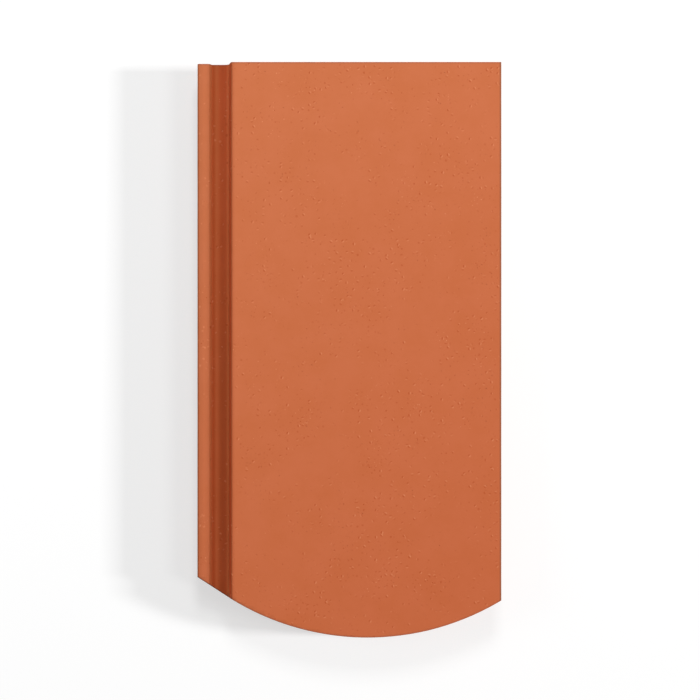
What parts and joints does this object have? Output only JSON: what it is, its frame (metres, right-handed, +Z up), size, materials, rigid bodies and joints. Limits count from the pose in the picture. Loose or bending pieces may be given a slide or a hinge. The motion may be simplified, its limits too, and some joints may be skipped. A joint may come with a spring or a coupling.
{
  "type": "roof tile",
  "caption": "Flat clay roof tile with a round-cut tail, a channelled side lap on the left, a flange lap on the right and nibs under the head.",
  "frame": {"origin": "middle of the bounding box at its lowest level, the tip of the hanging nibs, with the tile lying face up", "axes": "+X across the tile from the water lock to the cover lock, +Y along it towards the head, +Z up, out of the weather face"},
  "size_m": [0.212, 0.4029, 0.029],
  "materials": {
    "fired_clay": "matte"
  },
  "bodies": {
    "root": {"roof_tile": "fired_clay"}
  },
  "joints": []
}
